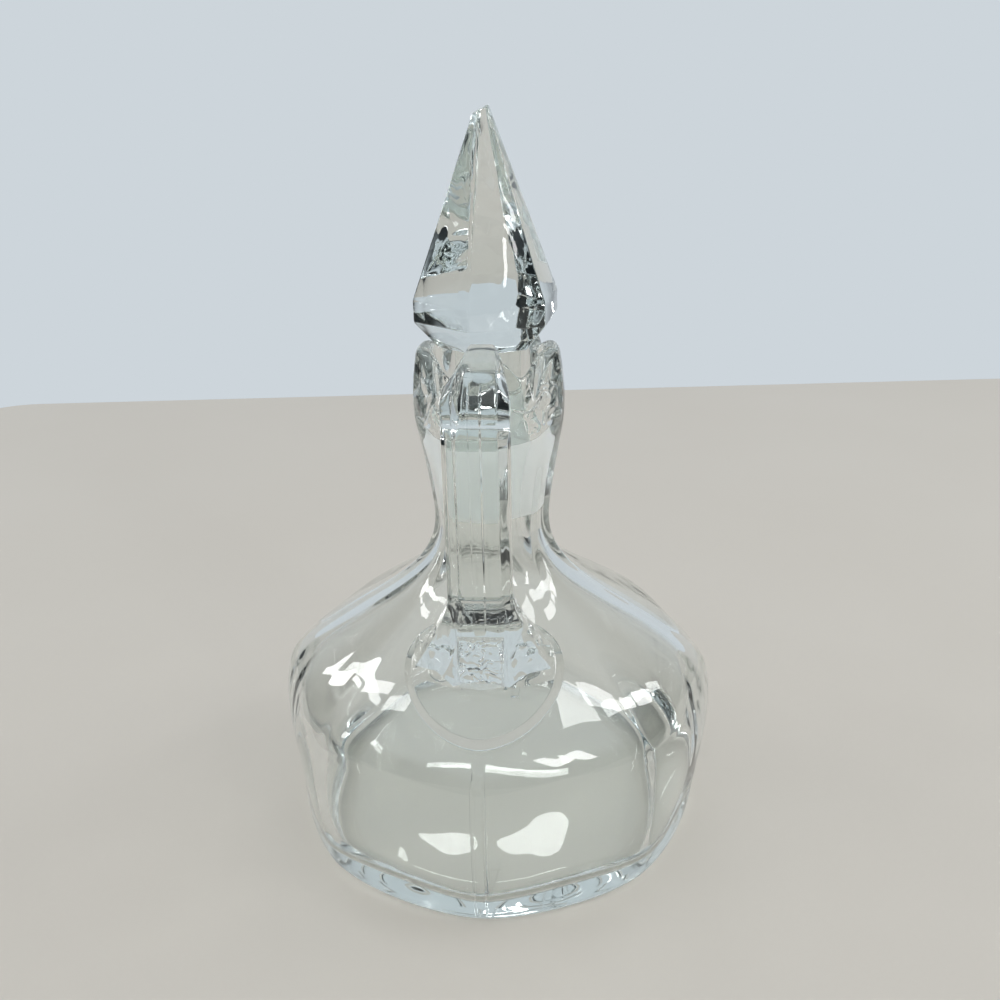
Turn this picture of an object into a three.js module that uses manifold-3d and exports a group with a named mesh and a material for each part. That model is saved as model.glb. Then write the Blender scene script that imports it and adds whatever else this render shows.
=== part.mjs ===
// Eight-panelled glass decanter with a pressed loop handle and a six-sided ground stopper
// Millimetres, +Z up. The bottle's axis is Z and its ground underside rests on z = 0.
// The handle stands toward -Y and the pouring spout toward +Y. Azimuths start at the handle and turn toward +X.

import * as THREE from "three";
import { mergeVertices } from "three/addons/utils/BufferGeometryUtils.js";
import { ConvexGeometry } from "three/addons/geometries/ConvexGeometry.js";
import Module from "manifold-3d";

const wasm = await Module();
wasm.setup();

// Bottle, outer skin: radii are taken at the arrises between the panels
const panelCount = 8;
const footRadius = 51.6;
const heelFillet = 2.2;
const bellyRadius = 57.1;
const shoulderHeight = 38;
const shoulderRadius = 56.1;
const slopeFootHeight = 50;
const slopeFootRadius = 45;
const shoulderSlope = 35.8; // degrees above the horizontal, going in toward the neck
const neckRadius = 14.4;
const neckHeight = 82;
const lipFootHeight = 107;
const lipRadius = 18;
const rimHeight = 125.5;
const rimThickness = 4.2;

// Panels: how far the middle of each panel lies inside the arrises, as a share of the radius
const footPanelDip = 0.016;
const wallPanelDip = 0.048;
const neckPanelDip = 0.06;
const innerPanelShare = 0.45;
const panelFlatness = 0.57; // one would make the middle of a panel hollow, and zero a plain arch

// Bottle, inner skin
const floorThickness = 3;
const floorDish = 0.4;
const floorRadius = 41;
const heelThickness = 3.2;
const wallThickness = 4.3;
const shoulderThickness = 4;
const innerHeelHeight = 10;

// Lip: a spout, two ears, and beside the handle a notch whose broad rim slopes down and out to a flat cut in each ear
const lipGrowthHeight = 101.4;
const spoutReach = 7;
const spoutRise = 0.8;
const notchDepth = 4.6;
const notchPinch = 0.9;
const notchAzimuth = 42; // degrees
const notchHalfWidth = 27; // degrees
const bandDrop = 10.5;
const bandAzimuth = 36; // degrees
const bandHalfWidth = 46; // degrees
const cheekDepth = 2.5;
const cheekPinch = 1.2;
const cheekAzimuth = 126; // degrees
const cheekHalfWidth = 24; // degrees
const cutDistance = 29.7; // from the middle of the foot, square to the cut
const cutAzimuth = 54.7; // degrees
const cutLean = 6.6; // degrees

// Ground joint: the plug tapers a little, and the bore follows it at a working clearance
const plugTopRadius = 9.7;
const plugBottomRadius = 8.6;
const plugBottomHeight = 85.2;
const plugLength = 19.4;
const groundClearance = 0.3;

// Stopper finial
const stopperTurn = -7.5; // degrees from a corner over the handle
const stemRadius = 7.8;
const finialFootHeight = 125.8;
const finialFootRadius = 12;
const girdleHeight = 132.2;
const girdleBand = 5;
const girdleRadius = 17.6;
const pyramidHeight = 44.8;
const tipCutHeight = 177.3;
const tipCutSlope = 27; // degrees

// Handle: a flat-sided loop with chamfered edges
const handleWidth = 14.7;
const handleChamfer = 2.6;
const handleThickness = 9.5;
const handleReach = 38;
const handleTopHeight = 129.3;
const handleTopDrop = 2.2;
const handleBend = 9;
const handleRootThickness = 12.6;
const handleRootRadius = 16.4;
const handleRootShare = 0.57; // of the width that is left where the loop meets the lip
const handleGap = 0.3; // between the handle and the bottle that carries it

// Handle foot: a faceted skirt on a round pad that lies on the shoulder
const skirtHeight = 77;
const skirtToe = 5.3;
const skirtHeel = 13;
const skirtHalfToe = 6.5;
const skirtHalfSpan = 17;
const padHalfWidth = 19.4;
const padHalfLength = 15.9;
const padDrop = 2.3; // of the pad's middle, down the slope from the middle of the skirt's seat
const padClimb = 12; // of the seat's middle, up the slope from its lower end
const padThickness = 2;

// Facets of the round surfaces: a multiple of the panel count
const aroundSteps = 56;
const plugSteps = 40;

const degrees = THREE.MathUtils.degToRad;
const ease = THREE.MathUtils.smoothstep;

function at(radius, height) {
  return new THREE.Vector2(radius, height);
}

function bezier(start, startPull, endPull, end, pieces) {
  return new THREE.CubicBezierCurve(start, startPull, endPull, end).getPoints(pieces).slice(1);
}

function arc(centre, radius, startAngle, endAngle, pieces) {
  const clockwise = endAngle < startAngle;
  const curve = new THREE.EllipseCurve(centre.x, centre.y, radius, radius, startAngle, endAngle, clockwise);
  return curve.getPoints(pieces).slice(1);
}

// A bump of height one at zero that fades to nothing at one
function bump(offset) {
  return Math.abs(offset) < 1 ? Math.cos((Math.PI / 2) * offset) ** 2 : 0;
}

const slopeRun = Math.cos(degrees(shoulderSlope));
const slopeRise = Math.sin(degrees(shoulderSlope));

// Outer skin from the middle of the underside, up the wall and the neck to the crest of the rim
function outerProfile() {
  const wallFoot = at(footRadius + heelFillet, heelFillet);
  const shoulder = at(shoulderRadius, shoulderHeight);
  const slopeFoot = at(slopeFootRadius, slopeFootHeight);
  const neck = at(neckRadius, neckHeight);
  const lipFoot = at(lipRadius - 0.1, lipFootHeight);
  const lipTop = at(lipRadius - 0.9, rimHeight - rimThickness / 2);
  const turn = slopeFootHeight - shoulderHeight;
  const fall = neckHeight - slopeFootHeight;
  const wall = shoulderHeight - heelFillet;
  const flare = lipFootHeight - neckHeight;
  const lip = lipTop.y - lipFootHeight;
  const bulge = 2 * bellyRadius - (wallFoot.x + shoulder.x) / 2;
  return [
    at(0, 0),
    at(footRadius / 2, 0),
    at(footRadius, 0),
    ...arc(at(footRadius, heelFillet), heelFillet, -Math.PI / 2, 0, 3),
    ...bezier(
      wallFoot,
      at(wallFoot.x + 0.7 * (bellyRadius - wallFoot.x), heelFillet + 0.27 * wall),
      at(bulge - 0.3, heelFillet + 0.72 * wall),
      shoulder,
      8,
    ),
    ...bezier(
      shoulder,
      at(shoulder.x - 1, shoulder.y + 0.38 * turn),
      at(slopeFoot.x + 0.55 * turn * slopeRun, slopeFoot.y - 0.55 * turn * slopeRise),
      slopeFoot,
      6,
    ),
    ...bezier(
      slopeFoot,
      at(slopeFoot.x - 0.66 * fall * slopeRun, slopeFoot.y + 0.66 * fall * slopeRise),
      at(neck.x, neck.y - 0.45 * fall),
      neck,
      10,
    ),
    ...bezier(neck, at(neck.x, neck.y + 0.2 * flare), at(lipFoot.x - 1.1, lipFoot.y - 0.3 * flare), lipFoot, 5),
    ...bezier(lipFoot, at(lipRadius + 0.5, lipFoot.y + 0.33 * lip), at(lipRadius, lipFoot.y + 0.72 * lip), lipTop, 8),
    ...arc(at(lipTop.x - rimThickness / 2, lipTop.y), rimThickness / 2, 0, Math.PI / 2, 3),
  ];
}

// Inner skin from the crest of the rim, down the mouth, the ground bore and the neck, to the floor
function innerProfile() {
  const rimTop = at(lipRadius - 0.9 - rimThickness, rimHeight - rimThickness / 2);
  const boreTop = at(plugTopRadius + groundClearance, plugBottomHeight + plugLength + 0.4);
  const boreFoot = at(plugBottomRadius + groundClearance, plugBottomHeight - 0.6);
  const mouth = rimTop.y - boreTop.y;
  const slopeTop = at(boreFoot.x, boreFoot.y - 1.4);
  const slopeFoot = at(
    slopeFootRadius - shoulderThickness * slopeRise,
    slopeFootHeight - shoulderThickness * slopeRun,
  );
  const fall = slopeTop.y - slopeFoot.y;
  const wallTop = at(shoulderRadius - wallThickness, shoulderHeight - 1.5);
  const wallFoot = at(footRadius + heelFillet + 1.1 - heelThickness, innerHeelHeight);
  const wall = wallTop.y - wallFoot.y;
  const turn = slopeFoot.y - wallTop.y;
  const floorEdge = at(floorRadius, floorThickness + floorDish);
  const heel = wallFoot.y - floorEdge.y;
  return [
    ...arc(at(rimTop.x + rimThickness / 2, rimTop.y), rimThickness / 2, Math.PI / 2, Math.PI, 3),
    ...bezier(rimTop, at(rimTop.x - 0.2, rimTop.y - 0.4 * mouth), at(boreTop.x + 0.6, boreTop.y + 0.2 * mouth), boreTop, 5),
    boreFoot,
    slopeTop,
    ...bezier(
      slopeTop,
      at(slopeTop.x, slopeTop.y - 0.42 * fall),
      at(slopeFoot.x - 0.66 * fall * slopeRun, slopeFoot.y + 0.66 * fall * slopeRise),
      slopeFoot,
      8,
    ),
    ...bezier(
      slopeFoot,
      at(slopeFoot.x + 0.55 * turn * slopeRun, slopeFoot.y - 0.55 * turn * slopeRise),
      at(wallTop.x - 0.8, wallTop.y + 0.4 * turn),
      wallTop,
      5,
    ),
    ...bezier(wallTop, at(wallTop.x + 1.1, wallTop.y - 0.33 * wall), at(wallFoot.x + 1.4, wallFoot.y + 0.33 * wall), wallFoot, 5),
    ...bezier(wallFoot, at(wallFoot.x - 0.6, wallFoot.y - 0.7 * heel), at(floorEdge.x + 6, floorEdge.y), floorEdge, 6),
    at(floorRadius / 2, floorThickness + floorDish / 4),
    at(0, floorThickness),
  ];
}

// Share of the radius left at an azimuth: one on an arris, and one less the dip in the middle of a panel
function panelShare(azimuth, dip) {
  const halfPanel = Math.PI / panelCount;
  const fromArris = THREE.MathUtils.euclideanModulo(azimuth, 2 * halfPanel);
  const fromMiddle = (fromArris - halfPanel) / halfPanel;
  const arch = 1 - fromMiddle ** 2;
  return 1 - dip * arch * (1 - panelFlatness * fromMiddle ** 2);
}

// The panels are shallow at the foot, deepest at the neck, and run out below the lip
function outerDip(height) {
  const wall = THREE.MathUtils.lerp(footPanelDip, wallPanelDip, ease(height, heelFillet, 0.35 * shoulderHeight));
  const neck = THREE.MathUtils.lerp(wall, neckPanelDip, ease(height, shoulderHeight, neckHeight));
  return neck * (1 - ease(height, 0.5 * (neckHeight + lipFootHeight), lipFootHeight + 2));
}

function innerDip(height) {
  return innerPanelShare * wallPanelDip * (1 - ease(height, slopeFootHeight, neckHeight - 6));
}

// How the lip departs from a round one, in radius and in height. The rim's outer edge drops more than its inner one.
function lipShift(azimuth, radius, height) {
  const away = Math.abs(THREE.MathUtils.radToDeg(azimuth));
  const grow = ease(height, lipGrowthHeight, rimHeight);
  const outerness = ease(radius, lipRadius - 0.9 - rimThickness, lipRadius - 0.9);
  const spout = Math.max(0, -Math.cos(azimuth)) ** 5;
  const notch = bump((away - notchAzimuth) / notchHalfWidth);
  const band = bump((away - bandAzimuth) / bandHalfWidth);
  const cheek = bump((away - cheekAzimuth) / cheekHalfWidth);
  const drop = THREE.MathUtils.lerp(notchDepth * notch, bandDrop * band, outerness);
  return {
    out: grow * (spoutReach * grow * spout - notchPinch * notch - cheekPinch * cheek),
    up: grow ** 3 * (spoutRise * spout - cheekDepth * cheek - drop),
  };
}

// Distance from the axis to the flat cut on the outside of an ear
function cutRadius(azimuth, height, clearance) {
  const across = Math.cos(Math.abs(azimuth) - degrees(cutAzimuth));
  const reach = cutDistance + clearance - Math.sin(degrees(cutLean)) * height;
  return across > 0 && height > lipGrowthHeight ? reach / (Math.cos(degrees(cutLean)) * across) : Infinity;
}

// Turns a profile round the axis, then gives it the panels and the lip. The first rows are the outer skin.
function panelledBody(profile, outerRows, clearance) {
  const body = new THREE.LatheGeometry(profile, aroundSteps).rotateX(Math.PI / 2);
  const place = body.getAttribute("position");
  for (let i = 0; i < place.count; i += 1) {
    const inside = i % profile.length >= outerRows;
    const azimuth = Math.atan2(place.getX(i), -place.getY(i));
    const radius = Math.hypot(place.getX(i), place.getY(i));
    const shift = lipShift(azimuth, radius, place.getZ(i));
    const share = panelShare(azimuth, inside ? innerDip(place.getZ(i)) : outerDip(place.getZ(i)));
    const height = place.getZ(i) + (radius > 0.01 ? shift.up : 0);
    const limit = inside ? Infinity : cutRadius(azimuth, height, clearance);
    const shaped = radius > 0.01 ? Math.min(radius * share + shift.out, limit) : 0;
    place.setXYZ(i, shaped * Math.sin(azimuth), -shaped * Math.cos(azimuth), height);
  }
  return body;
}

// A profile moved square to itself, outward
function grown(profile, distance) {
  return profile.map((point, i) => {
    const before = profile[Math.max(i - 1, 0)];
    const after = profile[Math.min(i + 1, profile.length - 1)];
    const along = after.clone().sub(before).normalize();
    return point.x < 0.01 ? at(0, point.y - distance) : at(point.x + distance * along.y, point.y - distance * along.x);
  });
}

// The bottle as one solid block, without its hollow, grown by a distance on every side
function bottleEnvelope(distance) {
  const skin = grown(outerProfile(), distance);
  const crest = skin[skin.length - 1];
  return solid(panelledBody([...skin, at(0, crest.y)], skin.length + 1, distance));
}

// A closed mesh as a solid for joining and cutting
function solid(geometry) {
  const bare = geometry.index ? geometry.toNonIndexed() : geometry.clone();
  bare.deleteAttribute("normal");
  bare.deleteAttribute("uv");
  const merged = mergeVertices(bare, 1e-4);
  const corners = merged.index.array;
  const triangles = [];
  for (let i = 0; i < corners.length; i += 3) {
    const [a, b, c] = corners.slice(i, i + 3);
    if (a !== b && b !== c && c !== a) triangles.push(a, b, c);
  }
  const vertProperties = merged.getAttribute("position").array;
  return new wasm.Manifold(new wasm.Mesh({ numProp: 3, vertProperties, triVerts: new Uint32Array(triangles) }));
}

function surface(made) {
  const mesh = made.getMesh();
  const geometry = new THREE.BufferGeometry();
  geometry.setAttribute("position", new THREE.BufferAttribute(mesh.vertProperties, mesh.numProp));
  geometry.setIndex(new THREE.BufferAttribute(mesh.triVerts, 1));
  geometry.computeVertexNormals();
  return geometry;
}

// Bottle: body, neck and lip, pressed and blown as one piece of glass
function bottleBody() {
  const outer = outerProfile();
  return surface(solid(panelledBody([...outer, ...innerProfile()], outer.length, 0)));
}

// Side outline of the loop, drawn as distance from the axis and height, with its root in the neck
function loopOutline() {
  const out = handleReach;
  const inner = handleReach - handleThickness;
  const top = handleTopHeight;
  const under = handleTopHeight - handleRootThickness;
  const bendTop = top - handleTopDrop;
  const foot = slopeFootHeight;
  const outline = new THREE.Shape();
  outline.moveTo(handleRootRadius, under);
  outline.lineTo(inner - handleBend, under);
  outline.quadraticCurveTo(inner, under, inner, under - 0.7 * handleBend);
  outline.lineTo(inner, skirtHeight);
  outline.lineTo(inner, foot);
  outline.lineTo(out, foot);
  outline.lineTo(out, skirtHeight);
  outline.lineTo(out, bendTop - handleBend);
  outline.quadraticCurveTo(out, bendTop - 0.1 * handleBend, out - handleBend, bendTop);
  outline.lineTo(handleRootRadius, top);
  outline.closePath();
  return outline;
}

// The outline stands in the handle's plane: its first axis is turned to -Y and its second to +Z
function handleLoop() {
  const loop = new THREE.ExtrudeGeometry(loopOutline(), {
    depth: handleWidth - 2 * handleChamfer,
    bevelSize: handleChamfer,
    bevelOffset: -handleChamfer,
    bevelThickness: handleChamfer,
    bevelSegments: 1,
    curveSegments: 8,
  });
  loop.translate(0, 0, handleChamfer - handleWidth / 2);
  loop.rotateX(Math.PI / 2);
  loop.rotateZ(-Math.PI / 2);
  const place = loop.getAttribute("position");
  for (let i = 0; i < place.count; i += 1) place.setX(i, place.getX(i) * widthShare(place.getY(i), place.getZ(i)));
  return solid(loop);
}

// The arm of the loop narrows from its bend toward the lip
function widthShare(y, z) {
  const alongArm = (-y - handleRootRadius) / (handleReach - handleRootRadius);
  const onArm = z > handleTopHeight - handleRootThickness - handleBend;
  return onArm ? Math.min(1, THREE.MathUtils.lerp(handleRootShare, 1, alongArm)) : 1;
}

// Places a point over the pad: round the bottle, up the slope, and out from the pad's middle depth
const padCentreRadius = slopeFootRadius - padClimb * slopeRun;
const padCentreHeight = slopeFootHeight + padClimb * slopeRise;

function onPad(across, up, out) {
  const level = padCentreHeight + up * slopeRise;
  const onArris = padCentreRadius - up * slopeRun;
  const azimuth = across / onArris;
  const radius = onArris * panelShare(azimuth, outerDip(level)) + out * slopeRise;
  return new THREE.Vector3(radius * Math.sin(azimuth), -radius * Math.cos(azimuth), level + out * slopeRun);
}

// Skirt: flares from the loop's section to an eight-cornered seat on the pad
function footSkirt() {
  const half = handleWidth / 2;
  const inner = handleReach - handleThickness;
  const section = [
    [half - handleChamfer, -handleReach],
    [half, -handleReach + handleChamfer],
    [half, -inner - handleChamfer],
    [half - handleChamfer, -inner],
  ];
  const seat = [
    [skirtHalfToe, -skirtToe],
    [skirtHalfSpan, -0.55 * skirtToe],
    [0.8 * skirtHalfSpan, 0.6 * skirtHeel],
    [skirtHalfToe, skirtHeel],
  ];
  const corners = [1, -1].flatMap((side) => [
    ...section.map(([across, y]) => new THREE.Vector3(side * across, y, skirtHeight)),
    ...seat.map(([across, up]) => onPad(side * across, up, handleGap + padThickness / 2)),
  ]);
  return solid(new ConvexGeometry(corners));
}

// Pad: a flattened drop of glass that follows the shoulder and the arris under it
function footPad() {
  const punch = new THREE.CylinderGeometry(1, 1, padHalfWidth, aroundSteps);
  punch.scale(padHalfWidth, 1, padHalfLength);
  punch.rotateX(degrees(90 + shoulderSlope));
  const middle = onPad(0, -padDrop, 0);
  punch.translate(middle.x, middle.y, middle.z);
  const skin = bottleEnvelope(handleGap + padThickness).subtract(bottleEnvelope(handleGap));
  return skin.intersect(solid(punch));
}

function handleBody() {
  const gap = bottleEnvelope(handleGap);
  return surface(handleLoop().add(footSkirt()).subtract(gap).add(footPad()));
}

// Stopper: a pyramid on a girdle, its underside drawn in to a stem, and a ground plug below
function stopperBody() {
  const crownFoot = girdleHeight + girdleBand;
  const crown = [
    at(0, finialFootHeight),
    at(finialFootRadius, finialFootHeight),
    at(girdleRadius, girdleHeight),
    at(girdleRadius, crownFoot),
    at(0, crownFoot + pyramidHeight),
  ];
  const plugTop = plugBottomHeight + plugLength;
  const plug = [
    at(0, plugBottomHeight),
    at(plugBottomRadius - 0.7, plugBottomHeight),
    at(plugBottomRadius, plugBottomHeight + 0.7),
    at(plugTopRadius, plugTop),
    ...bezier(at(plugTopRadius, plugTop), at(plugTopRadius, plugTop + 1.6), at(stemRadius, plugTop + 1.4), at(stemRadius, plugTop + 3.4), 3),
    at(stemRadius, finialFootHeight + 1),
    at(0, finialFootHeight + 1),
  ];
  const cutSize = pyramidHeight;
  const cut = new THREE.BoxGeometry(2 * cutSize, 2 * cutSize, cutSize).translate(0, 0, cutSize / 2);
  cut.rotateY(-degrees(tipCutSlope));
  cut.translate(0, 0, tipCutHeight);
  const finial = new THREE.LatheGeometry(crown, 6).rotateX(Math.PI / 2).rotateZ(degrees(stopperTurn));
  const shank = new THREE.LatheGeometry(plug, plugSteps).rotateX(Math.PI / 2);
  return surface(solid(finial).subtract(solid(cut)).add(solid(shank)));
}

function glass(color, roughness) {
  return new THREE.MeshStandardMaterial({ color, roughness, metalness: 0, transparent: true, opacity: 0.35 });
}

function piece(name, geometry, material) {
  const mesh = new THREE.Mesh(geometry, material);
  mesh.name = name;
  return mesh;
}

const fusedGlass = new THREE.Group();
fusedGlass.add(piece("bottle_body", bottleBody(), glass(0xeaf1ee, 0.04)));
fusedGlass.add(piece("handle", handleBody(), glass(0xe6eeec, 0.04)));

const decanter = new THREE.Group();
decanter.add(fusedGlass);
decanter.add(piece("stopper", stopperBody(), glass(0xe4ece9, 0.06)));

export default decanter;
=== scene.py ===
# %% [markdown]
# # A small handled decanter in Blender
# The bottle was blown and pressed in an eight-sided mould, the handle was pressed apart and fused on hot, and the
# stopper is one solid piece of pressed glass with a ground plug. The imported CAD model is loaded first. It fixes where
# everything is, and this script only makes the pieces finer and gives them their glass, the table and the light.

# %% Load the frame
import math

import bmesh
import bpy
from mathutils import Matrix, Vector


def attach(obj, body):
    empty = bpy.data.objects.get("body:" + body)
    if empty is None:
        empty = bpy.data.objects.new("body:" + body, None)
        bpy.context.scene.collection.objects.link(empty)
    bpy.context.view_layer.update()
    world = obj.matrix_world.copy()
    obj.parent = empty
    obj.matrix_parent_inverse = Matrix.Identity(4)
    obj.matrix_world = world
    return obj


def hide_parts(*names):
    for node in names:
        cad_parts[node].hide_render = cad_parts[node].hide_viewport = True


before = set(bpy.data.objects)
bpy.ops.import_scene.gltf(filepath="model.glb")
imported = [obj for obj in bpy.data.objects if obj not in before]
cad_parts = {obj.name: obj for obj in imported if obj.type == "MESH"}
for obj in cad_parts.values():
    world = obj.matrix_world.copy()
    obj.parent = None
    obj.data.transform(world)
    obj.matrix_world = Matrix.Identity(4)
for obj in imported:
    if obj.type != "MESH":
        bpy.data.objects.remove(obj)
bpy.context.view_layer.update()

# %% [markdown]
# All sizes below are in millimetres, as a glassmaker's drawing would give them, and one factor turns them to metres.
# The bottle's axis is Z, the handle stands toward -Y, and an azimuth starts at the handle and turns toward +X.

# %% Sizes shared by the pieces
MM = 0.001

PANELS = 8
FOOT_RADIUS = 51.6
HEEL_FILLET = 2.2
BELLY_RADIUS = 57.06
SHOULDER_HEIGHT = 38
SHOULDER_RADIUS = 56.1
SLOPE_FOOT_HEIGHT = 50
SLOPE_FOOT_RADIUS = 45
SHOULDER_SLOPE = math.radians(35.8)
NECK_RADIUS = 14.4
NECK_HEIGHT = 82
LIP_FOOT_HEIGHT = 107
LIP_RADIUS = 18
RIM_RADIUS = LIP_RADIUS - 0.9
RIM_HEIGHT = 125.5
RIM_THICKNESS = 4.2
FLOOR_THICKNESS = 3
FLOOR_RADIUS = 41
FLOOR_DISH = 0.4
HEEL_THICKNESS = 3.2
WALL_THICKNESS = 4.3
SHOULDER_THICKNESS = 4
INNER_HEEL_HEIGHT = 10
PLUG_TOP_RADIUS = 9.7
PLUG_BOTTOM_RADIUS = 8.6
PLUG_BOTTOM_HEIGHT = 85.2
PLUG_LENGTH = 19.4
GROUND_CLEARANCE = 0.3

SLOPE_RUN = math.cos(SHOULDER_SLOPE)
SLOPE_RISE = math.sin(SHOULDER_SLOPE)


def curve_points(start, start_pull, end_pull, end, steps):
    """Points of a cubic curve after its start, in (radius, height)."""
    points = []
    for i in range(1, steps + 1):
        t = i / steps
        weights = ((1 - t) ** 3, 3 * t * (1 - t) ** 2, 3 * t * t * (1 - t), t ** 3)
        corners = (start, start_pull, end_pull, end)
        points.append(tuple(sum(w * c[k] for w, c in zip(weights, corners)) for k in (0, 1)))
    return points


def arc_points(centre, radius, first, last, steps):
    """Points of a circular arc after its start. Angles in degrees."""
    points = []
    for i in range(1, steps + 1):
        angle = math.radians(first + (last - first) * i / steps)
        points.append((centre[0] + radius * math.cos(angle), centre[1] + radius * math.sin(angle)))
    return points


def line_points(start, end, steps):
    """Points of a straight line after its start."""
    return [tuple(start[k] + (end[k] - start[k]) * i / steps for k in (0, 1)) for i in range(1, steps + 1)]


def smooth_step(value, low, high):
    """Zero below low, one above high, and an easy slope between."""
    t = min(1.0, max(0.0, (value - low) / (high - low)))
    return t * t * (3 - 2 * t)


def bump_shape(offset):
    """A rounded bump of height one at zero that is gone at one."""
    return math.cos(math.pi / 2 * offset) ** 2 if abs(offset) < 1 else 0.0


# %% [markdown]
# ## The bottle's wall
# A blown bottle is a body of revolution before the mould gives it its panels, so its section is drawn as one line:
# from the middle of the underside up the outside, over the rim, and down the inside to the floor. The floor is
# 3 mm thick and the wall about 4 mm, and the neck's bore is ground to take the plug.

# %% Draw the section
def outer_section():
    """Points from the middle of the underside to the top of the rim."""
    wall_foot = (FOOT_RADIUS + HEEL_FILLET, HEEL_FILLET)
    shoulder = (SHOULDER_RADIUS, SHOULDER_HEIGHT)
    slope_foot = (SLOPE_FOOT_RADIUS, SLOPE_FOOT_HEIGHT)
    neck = (NECK_RADIUS, NECK_HEIGHT)
    lip_foot = (LIP_RADIUS - 0.1, LIP_FOOT_HEIGHT)
    lip_top = (RIM_RADIUS, RIM_HEIGHT - RIM_THICKNESS / 2)
    turn = SLOPE_FOOT_HEIGHT - SHOULDER_HEIGHT
    fall = NECK_HEIGHT - SLOPE_FOOT_HEIGHT
    wall = SHOULDER_HEIGHT - HEEL_FILLET
    flare = LIP_FOOT_HEIGHT - NECK_HEIGHT
    lip = lip_top[1] - LIP_FOOT_HEIGHT
    bulge = 2 * BELLY_RADIUS - (wall_foot[0] + shoulder[0]) / 2
    points = [(0, 0)] + line_points((0, 0), (FOOT_RADIUS, 0), 16)
    points += arc_points((FOOT_RADIUS, HEEL_FILLET), HEEL_FILLET, -90, 0, 7)
    points += curve_points(
        wall_foot,
        (wall_foot[0] + 0.7 * (BELLY_RADIUS - wall_foot[0]), HEEL_FILLET + 0.27 * wall),
        (bulge - 0.3, HEEL_FILLET + 0.72 * wall),
        shoulder, 26)
    points += curve_points(
        shoulder,
        (shoulder[0] - 1, shoulder[1] + 0.38 * turn),
        (slope_foot[0] + 0.55 * turn * SLOPE_RUN, slope_foot[1] - 0.55 * turn * SLOPE_RISE),
        slope_foot, 18)
    points += curve_points(
        slope_foot,
        (slope_foot[0] - 0.66 * fall * SLOPE_RUN, slope_foot[1] + 0.66 * fall * SLOPE_RISE),
        (neck[0], neck[1] - 0.45 * fall),
        neck, 36)
    points += curve_points(
        neck,
        (neck[0], neck[1] + 0.2 * flare),
        (lip_foot[0] - 1.1, lip_foot[1] - 0.3 * flare),
        lip_foot, 20)
    points += curve_points(
        lip_foot,
        (LIP_RADIUS + 0.5, lip_foot[1] + 0.33 * lip),
        (LIP_RADIUS, lip_foot[1] + 0.72 * lip),
        lip_top, 34)
    points += arc_points((lip_top[0] - RIM_THICKNESS / 2, lip_top[1]), RIM_THICKNESS / 2, 0, 90, 7)
    return points


def inner_section():
    """Points from the top of the rim to the middle of the floor."""
    rim_top = (RIM_RADIUS - RIM_THICKNESS, RIM_HEIGHT - RIM_THICKNESS / 2)
    bore_top = (PLUG_TOP_RADIUS + GROUND_CLEARANCE, PLUG_BOTTOM_HEIGHT + PLUG_LENGTH + 0.4)
    bore_foot = (PLUG_BOTTOM_RADIUS + GROUND_CLEARANCE, PLUG_BOTTOM_HEIGHT - 0.6)
    mouth = rim_top[1] - bore_top[1]
    slope_top = (bore_foot[0], bore_foot[1] - 1.4)
    slope_foot = (
        SLOPE_FOOT_RADIUS - SHOULDER_THICKNESS * SLOPE_RISE,
        SLOPE_FOOT_HEIGHT - SHOULDER_THICKNESS * SLOPE_RUN)
    fall = slope_top[1] - slope_foot[1]
    wall_top = (SHOULDER_RADIUS - WALL_THICKNESS, SHOULDER_HEIGHT - 1.5)
    wall_foot = (FOOT_RADIUS + HEEL_FILLET + 1.1 - HEEL_THICKNESS, INNER_HEEL_HEIGHT)
    wall = wall_top[1] - wall_foot[1]
    turn = slope_foot[1] - wall_top[1]
    floor_edge = (FLOOR_RADIUS, FLOOR_THICKNESS + FLOOR_DISH)
    heel = wall_foot[1] - floor_edge[1]
    points = arc_points((rim_top[0] + RIM_THICKNESS / 2, rim_top[1]), RIM_THICKNESS / 2, 90, 180, 7)
    points += curve_points(
        rim_top,
        (rim_top[0] - 0.2, rim_top[1] - 0.4 * mouth),
        (bore_top[0] + 0.6, bore_top[1] + 0.2 * mouth),
        bore_top, 18)
    points += line_points(bore_top, bore_foot, 18)
    points += line_points(bore_foot, slope_top, 2)
    points += curve_points(
        slope_top,
        (slope_top[0], slope_top[1] - 0.42 * fall),
        (slope_foot[0] - 0.66 * fall * SLOPE_RUN, slope_foot[1] + 0.66 * fall * SLOPE_RISE),
        slope_foot, 34)
    points += curve_points(
        slope_foot,
        (slope_foot[0] + 0.55 * turn * SLOPE_RUN, slope_foot[1] - 0.55 * turn * SLOPE_RISE),
        (wall_top[0] - 0.8, wall_top[1] + 0.4 * turn),
        wall_top, 16)
    points += curve_points(
        wall_top,
        (wall_top[0] + 1.1, wall_top[1] - 0.33 * wall),
        (wall_foot[0] + 1.4, wall_foot[1] + 0.33 * wall),
        wall_foot, 14)
    points += curve_points(
        wall_foot,
        (wall_foot[0] - 0.6, wall_foot[1] - 0.7 * heel),
        (floor_edge[0] + 6, floor_edge[1]),
        floor_edge, 18)
    points += curve_points(
        floor_edge,
        (floor_edge[0] - 12, floor_edge[1]),
        (12, FLOOR_THICKNESS),
        (0, FLOOR_THICKNESS), 12)
    return points


section_outside = outer_section()
section_inside = inner_section()
print("section points:", len(section_outside), "outside and", len(section_inside), "inside")

# %% [markdown]
# ## Panels and lip
# The mould leaves eight gently crowned panels that meet in soft edges, the arrises. They are shallow at the foot,
# deeper at the neck and gone at the lip. The lip was tooled while hot: pulled out into a spout, pinched beside the
# handle, and left with a thick band that slopes outward there. These forms are small changes of radius and height,
# so they are given to the vertices of the turned shape by formula. Each tooled place of the lip is an azimuth from
# the handle and a half width, in degrees, and each dip of the panels is a share of the radius.

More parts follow.
